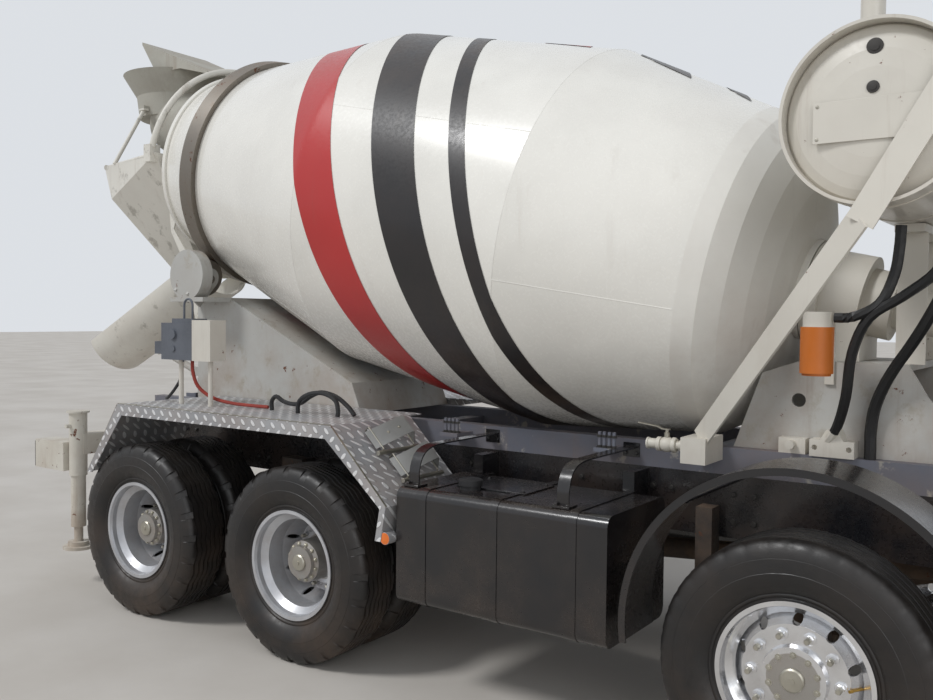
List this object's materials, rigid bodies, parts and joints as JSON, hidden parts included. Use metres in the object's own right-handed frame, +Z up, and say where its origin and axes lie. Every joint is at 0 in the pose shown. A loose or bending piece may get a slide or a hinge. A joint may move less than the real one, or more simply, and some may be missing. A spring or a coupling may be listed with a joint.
{
  "type": "concrete mixer truck",
  "caption": "Twin-steer truck with a tilted turning drum, charge hopper, discharge collector with a swinging chute, transverse water tank and tilting cab.",
  "frame": {"origin": "on the ground under the middle of the outline box", "axes": "+X forward, +Y left, +Z up"},
  "size_m": [9.1, 2.92, 3.96],
  "materials": {
    "chassis_black": "gloss",
    "axle_black": "satin",
    "cast_dark": "matte",
    "subframe_grey": "satin",
    "tread_plate": "satin",
    "tank_black": "gloss",
    "white_paint": "gloss",
    "drum_white": "gloss",
    "pedestal_grey": "satin",
    "stay_grey": "satin",
    "steel_worn": "worn",
    "filter_orange": "satin",
    "rim_silver": "satin",
    "rubber_tyre": "matte",
    "glass_tint": "gloss",
    "plastic_black": "matte",
    "interior_grey": "matte"
  },
  "bodies": {
    "chassis": {"chassis_frame": "chassis_black", "subframe": "subframe_grey", "front_axles": "axle_black", "rear_axles": "axle_black", "leaf_springs": "axle_black", "powertrain": "cast_dark", "front_bumper": "white_paint", "mudguards": "tank_black", "rear_fenders": "tread_plate", "side_tanks": "tank_black", "rear_beam": "white_paint", "front_pedestal": "pedestal_grey", "drum_gearbox": "white_paint", "rear_pedestal": "pedestal_grey", "water_tank": "white_paint", "tank_frame": "stay_grey", "hydraulics": "filter_orange", "intake_stack": "plastic_black", "charge_hopper": "pedestal_grey", "discharge_collector": "white_paint", "control_box": "white_paint", "ladder": "white_paint"},
    "drum": {"drum": "drum_white", "mixing_blades": "steel_worn"},
    "roller_left": {"roller_left": "steel_worn"},
    "roller_right": {"roller_right": "steel_worn"},
    "chute_turret": {"chute_turret": "pedestal_grey"},
    "chute": {"chute": "pedestal_grey"},
    "jack_barrel": {"jack_barrel": "pedestal_grey"},
    "jack_rod": {"jack_rod": "steel_worn"},
    "leg_left": {"stabilizer_leg_left": "pedestal_grey"},
    "leg_right": {"stabilizer_leg_right": "pedestal_grey"},
    "knuckle_1_left": {"knuckle_1_left": "axle_black"},
    "wheel_1_left": {"rim_1_left": "rim_silver", "tyre_1_left": "rubber_tyre"},
    "knuckle_1_right": {"knuckle_1_right": "axle_black"},
    "wheel_1_right": {"rim_1_right": "rim_silver", "tyre_1_right": "rubber_tyre"},
    "track_rod_1": {"track_rod_1": "axle_black"},
    "knuckle_2_left": {"knuckle_2_left": "axle_black"},
    "wheel_2_left": {"rim_2_left": "rim_silver", "tyre_2_left": "rubber_tyre"},
    "knuckle_2_right": {"knuckle_2_right": "axle_black"},
    "wheel_2_right": {"rim_2_right": "rim_silver", "tyre_2_right": "rubber_tyre"},
    "track_rod_2": {"track_rod_2": "axle_black"},
    "wheel_3_left": {"rims_3_left": "rim_silver", "tyres_3_left": "rubber_tyre"},
    "wheel_3_right": {"rims_3_right": "rim_silver", "tyres_3_right": "rubber_tyre"},
    "wheel_4_left": {"rims_4_left": "rim_silver", "tyres_4_left": "rubber_tyre"},
    "wheel_4_right": {"rims_4_right": "rim_silver", "tyres_4_right": "rubber_tyre"},
    "cab": {"cab_shell": "white_paint", "cab_glass": "glass_tint", "cab_interior": "interior_grey", "cab_trim": "plastic_black"},
    "door_left": {"door_left": "white_paint"},
    "door_right": {"door_right": "white_paint"}
  },
  "joints": [
    {"name": "steer_1_right", "type": "hinge", "parent": "chassis", "child": "knuckle_1_right", "pos_m": [3.11, -0.905, 0.535], "axis": [0, 0, 1], "range_deg": [-35, 35]},
    {"name": "roll_1_right", "type": "hinge", "parent": "knuckle_1_right", "child": "wheel_1_right", "pos_m": [3.11, -1.09, 0.535], "axis": [0, 1, 0], "continuous": true},
    {"name": "steer_1_left", "type": "hinge", "parent": "chassis", "child": "knuckle_1_left", "pos_m": [3.11, 0.905, 0.535], "axis": [0, 0, 1], "range_deg": [-35, 35]},
    {"name": "roll_1_left", "type": "hinge", "parent": "knuckle_1_left", "child": "wheel_1_left", "pos_m": [3.11, 1.09, 0.535], "axis": [0, 1, 0], "continuous": true},
    {"name": "track_rod_1_swivel", "type": "hinge", "parent": "knuckle_1_right", "child": "track_rod_1", "pos_m": [2.91, -0.905, 0.435], "axis": [0, 0, 1], "range_deg": [-35, 35]},
    {"name": "steer_2_right", "type": "hinge", "parent": "chassis", "child": "knuckle_2_right", "pos_m": [1.41, -0.905, 0.535], "axis": [0, 0, 1], "range_deg": [-23.1, 23.1]},
    {"name": "roll_2_right", "type": "hinge", "parent": "knuckle_2_right", "child": "wheel_2_right", "pos_m": [1.41, -1.09, 0.535], "axis": [0, 1, 0], "continuous": true},
    {"name": "steer_2_left", "type": "hinge", "parent": "chassis", "child": "knuckle_2_left", "pos_m": [1.41, 0.905, 0.535], "axis": [0, 0, 1], "range_deg": [-23.1, 23.1]},
    {"name": "roll_2_left", "type": "hinge", "parent": "knuckle_2_left", "child": "wheel_2_left", "pos_m": [1.41, 1.09, 0.535], "axis": [0, 1, 0], "continuous": true},
    {"name": "track_rod_2_swivel", "type": "hinge", "parent": "knuckle_2_right", "child": "track_rod_2", "pos_m": [1.21, -0.905, 0.435], "axis": [0, 0, 1], "range_deg": [-23.1, 23.1]},
    {"name": "roll_3_right", "type": "hinge", "parent": "chassis", "child": "wheel_3_right", "pos_m": [-1.25, -0.92, 0.535], "axis": [0, 1, 0], "continuous": true},
    {"name": "roll_3_left", "type": "hinge", "parent": "chassis", "child": "wheel_3_left", "pos_m": [-1.25, 0.92, 0.535], "axis": [0, 1, 0], "continuous": true},
    {"name": "roll_4_right", "type": "hinge", "parent": "chassis", "child": "wheel_4_right", "pos_m": [-2.6, -0.92, 0.535], "axis": [0, 1, 0], "continuous": true},
    {"name": "roll_4_left", "type": "hinge", "parent": "chassis", "child": "wheel_4_left", "pos_m": [-2.6, 0.92, 0.535], "axis": [0, 1, 0], "continuous": true},
    {"name": "drum_turn", "type": "hinge", "parent": "chassis", "child": "drum", "pos_m": [-1.1, 0, 2.538], "axis": [0.9759, 0, -0.2181], "continuous": true},
    {"name": "roller_left_turn", "type": "hinge", "parent": "chassis", "child": "roller_left", "pos_m": [-2.80729, 0.53073, 2.14296], "axis": [0.9759, 0, -0.2181], "continuous": true},
    {"name": "roller_right_turn", "type": "hinge", "parent": "chassis", "child": "roller_right", "pos_m": [-2.80729, -0.53073, 2.14296], "axis": [0.9759, 0, -0.2181], "continuous": true},
    {"name": "chute_swing", "type": "hinge", "parent": "chassis", "child": "chute_turret", "pos_m": [-3.42, 0, 1.39], "axis": [0, 0, 1], "range_deg": [-90, 90]},
    {"name": "chute_tilt", "type": "hinge", "parent": "chute_turret", "child": "chute", "pos_m": [-3.42, 0, 1.86], "axis": [0, 1, 0], "range_deg": [-6, 28]},
    {"name": "jack_pivot", "type": "hinge", "parent": "chute_turret", "child": "jack_barrel", "pos_m": [-3.52, 0, 1.43], "axis": [0, 1, 0], "range_deg": [-5.21, 22.48]},
    {"name": "jack_slide", "type": "slide", "parent": "jack_barrel", "child": "jack_rod", "axis": [-0.9399, 0, 0.3414], "range_m": [-0.048, 0.2093]},
    {"name": "leg_left_slide", "type": "slide", "parent": "chassis", "child": "leg_left", "axis": [0, 0, -1], "range_m": [0, 0.22]},
    {"name": "leg_right_slide", "type": "slide", "parent": "chassis", "child": "leg_right", "axis": [0, 0, -1], "range_m": [0, 0.22]},
    {"name": "cab_tilt", "type": "hinge", "parent": "chassis", "child": "cab", "pos_m": [4.42, 0, 0.9], "axis": [0, 1, 0], "range_deg": [0, 55]},
    {"name": "door_right_swing", "type": "hinge", "parent": "cab", "child": "door_right", "pos_m": [4.22, -1.214, 1.66], "axis": [0, 0, 1], "range_deg": [0, 70]},
    {"name": "door_left_swing", "type": "hinge", "parent": "cab", "child": "door_left", "pos_m": [4.22, 1.214, 1.66], "axis": [0, 0, -1], "range_deg": [0, 70]}
  ],
  "couplings": [
    {"joint": "steer_1_left", "follows": "steer_1_right", "ratio": 1},
    {"joint": "steer_2_right", "follows": "steer_1_right", "ratio": 0.66},
    {"joint": "steer_2_left", "follows": "steer_1_right", "ratio": 0.66},
    {"joint": "track_rod_1_swivel", "follows": "steer_1_right", "ratio": -1},
    {"joint": "track_rod_2_swivel", "follows": "steer_1_right", "ratio": -0.66},
    {"joint": "roller_left_turn", "follows": "drum_turn", "ratio": -6.4},
    {"joint": "roller_right_turn", "follows": "drum_turn", "ratio": -6.4},
    {"joint": "jack_pivot", "follows": "chute_tilt", "ratio": 0.785},
    {"joint": "jack_slide", "follows": "chute_tilt", "m_per_rad": 0.42}
  ]
}
